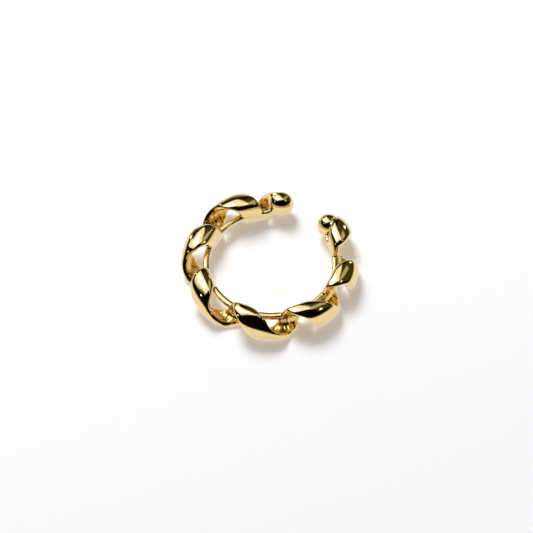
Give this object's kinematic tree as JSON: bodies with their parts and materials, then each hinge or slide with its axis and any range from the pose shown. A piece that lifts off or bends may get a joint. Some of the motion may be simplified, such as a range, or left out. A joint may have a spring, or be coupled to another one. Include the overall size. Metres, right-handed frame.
{
  "type": "ear cuff",
  "caption": "Open ring that clips over the rim of an ear: a cushion-shaped strip wound round a hollow core, on a thin inner rail, with a ball closing each end.",
  "frame": {"origin": "on the surface that the cuff lies on, under the middle of the ring", "axes": "+Z along the ring's axis, up from the surface; the opening faces +X and +Y, seen from above"},
  "size_m": [0.014, 0.0138, 0.0022],
  "materials": {
    "gold_plate": "mirror-polished yellow gold plating over cast brass"
  },
  "bodies": {
    "root": {"cuff_body": "gold_plate"}
  },
  "joints": []
}
